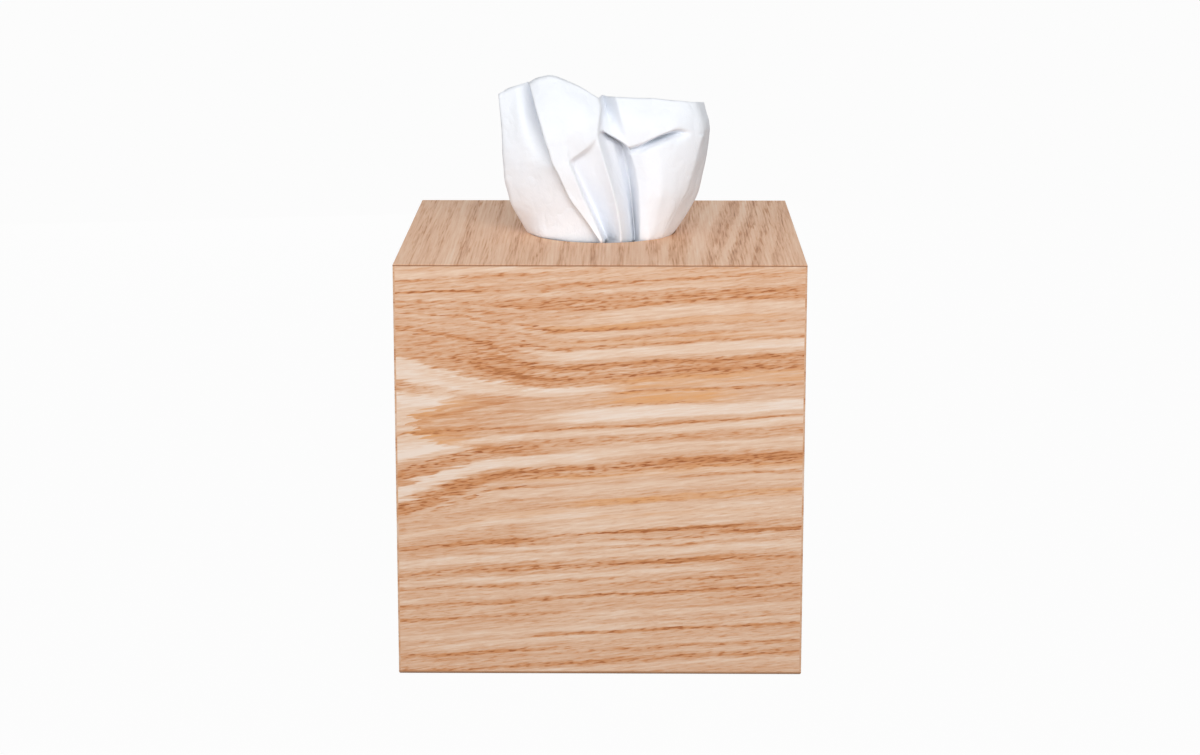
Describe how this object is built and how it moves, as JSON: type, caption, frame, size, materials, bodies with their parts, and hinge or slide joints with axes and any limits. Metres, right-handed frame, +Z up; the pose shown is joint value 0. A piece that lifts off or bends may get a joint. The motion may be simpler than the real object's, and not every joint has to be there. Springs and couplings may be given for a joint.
{
  "type": "tissue box cover",
  "caption": "Square veneered wooden cover over a tissue carton, with a round opening in its top that a tissue stands up through.",
  "frame": {"origin": "middle of the underside, where the cover and the carton stand on the table", "axes": "+Z up, -Y out of the front face in the picture, +X to the right seen from the front"},
  "size_m": [0.132, 0.132, 0.1899],
  "materials": {
    "face_veneer": "satin",
    "lipping_wood": "satin",
    "backing_veneer": "matte",
    "core_board": "matte",
    "pin_steel": "satin",
    "carton_board": "satin",
    "clear_film": "gloss",
    "tissue_paper": "matte"
  },
  "bodies": {
    "refill": {"carton": "carton_board", "slit_film": "clear_film", "tissue_stack": "tissue_paper"},
    "cover": {"front_core": "core_board", "front_veneer": "face_veneer", "front_lining": "backing_veneer", "front_lipping": "lipping_wood", "back_core": "core_board", "back_veneer": "face_veneer", "back_lining": "backing_veneer", "back_lipping": "lipping_wood", "left_core": "core_board", "left_veneer": "face_veneer", "left_lining": "backing_veneer", "left_lipping": "lipping_wood", "right_core": "core_board", "right_veneer": "face_veneer", "right_lining": "backing_veneer", "right_lipping": "lipping_wood", "top_core": "core_board", "top_veneer": "face_veneer", "top_lining": "backing_veneer", "opening_band": "lipping_wood", "corner_pins": "pin_steel", "top_pins": "pin_steel"},
    "tissue": {"pop_up_tissue": "tissue_paper"}
  },
  "joints": [
    {"name": "cover_lift", "type": "slide", "parent": "refill", "child": "cover", "axis": [0, 0, 1], "range_m": [0, 0.13]},
    {"name": "tissue_pull", "type": "slide", "parent": "cover", "child": "tissue", "axis": [0, 0, 1], "range_m": [0, 0.09]}
  ]
}
